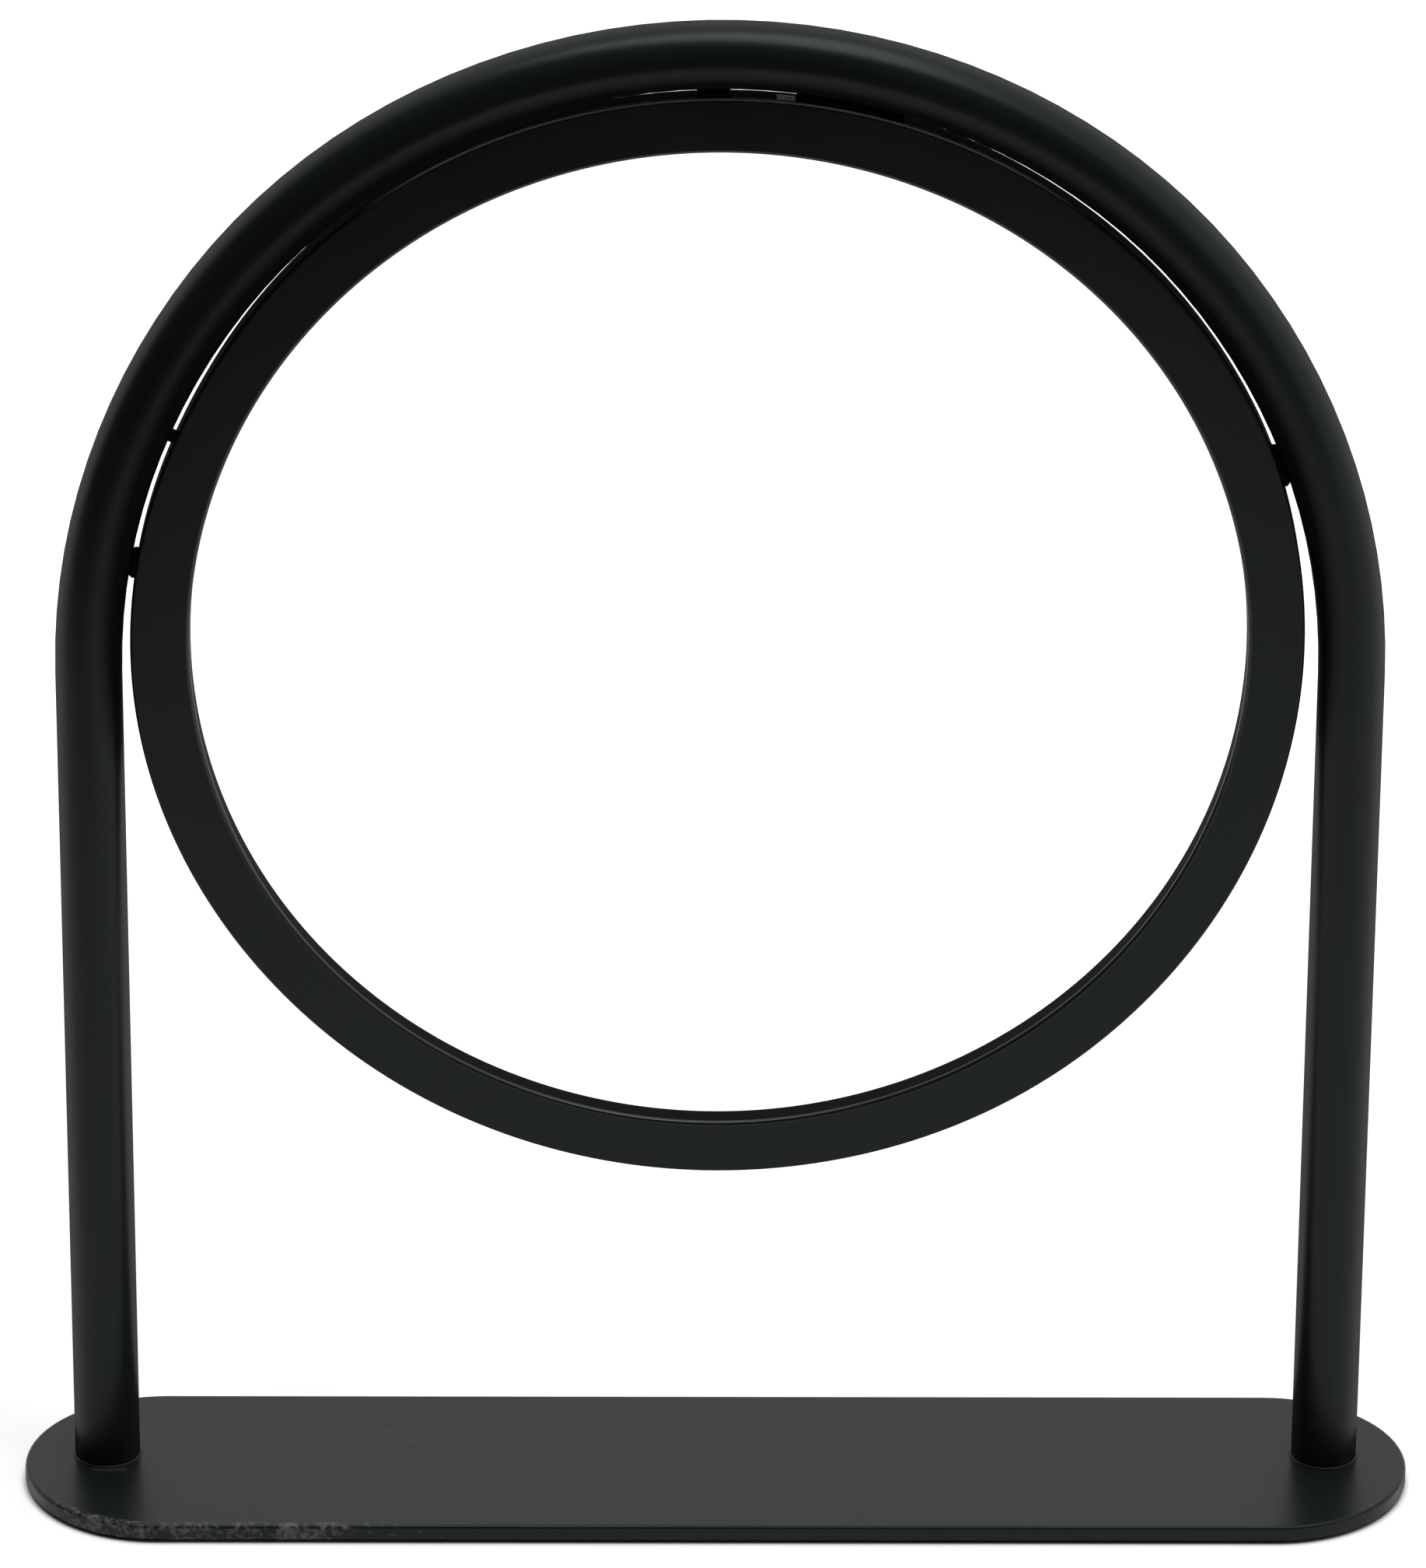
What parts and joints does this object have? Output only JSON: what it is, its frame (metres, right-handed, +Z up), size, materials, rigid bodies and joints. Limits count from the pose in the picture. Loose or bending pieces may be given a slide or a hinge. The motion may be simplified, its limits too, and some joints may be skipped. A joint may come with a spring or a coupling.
{
  "type": "ring arch stand",
  "caption": "Free-standing steel arch stand: a bent tube on a flat round-ended foot, with a flat ring tack-welded inside the curve to frame or carry a display.",
  "frame": {"origin": "on the surface the stand rests on, below the middle of the foot plate", "axes": "+Z up, +X along the foot plate from leg to leg, -Y the front"},
  "size_m": [0.34, 0.067, 0.3797],
  "materials": {
    "black_powder_coat": "satin black powder coat with a faint orange peel",
    "pad_rubber": "matt",
    "bare_steel": "plain zinc-plated"
  },
  "bodies": {
    "root": {"foot_plate": "black_powder_coat", "foot_pad": "pad_rubber", "arch_tube": "black_powder_coat", "ring": "black_powder_coat", "weld_right": "black_powder_coat", "weld_crown": "black_powder_coat", "weld_top": "black_powder_coat", "weld_left_upper": "black_powder_coat", "weld_left_lower": "black_powder_coat", "leg_plug_left": "bare_steel", "leg_plug_right": "bare_steel", "leg_screw_left": "bare_steel", "leg_screw_right": "bare_steel"}
  },
  "joints": []
}
